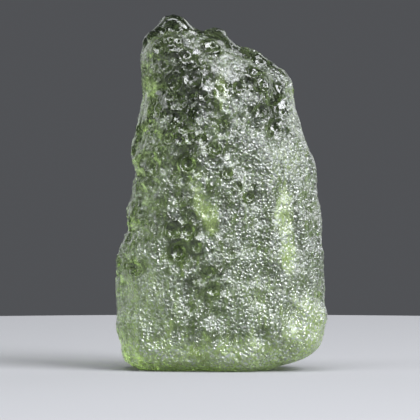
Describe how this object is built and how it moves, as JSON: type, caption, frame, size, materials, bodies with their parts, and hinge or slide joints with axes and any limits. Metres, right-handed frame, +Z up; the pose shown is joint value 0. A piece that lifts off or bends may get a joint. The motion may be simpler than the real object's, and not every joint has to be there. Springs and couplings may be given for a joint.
{
  "type": "moldavite",
  "caption": "Upright flattened piece of green natural glass, narrower towards its notched top, etched all over with shallow round pits, standing on a small flat spot of its lower edge",
  "frame": {"origin": "the middle of the stone's box, at the level of the flat spot that it stands on", "axes": "+Z up along the stone's length, the broad front looks along -Y, +X to the right of someone facing that front"},
  "size_m": [0.017, 0.0102, 0.0284],
  "materials": {
    "green_glass": "glossy, finely pitted, see-through olive green"
  },
  "bodies": {
    "root": {"moldavite": "green_glass"}
  },
  "joints": []
}
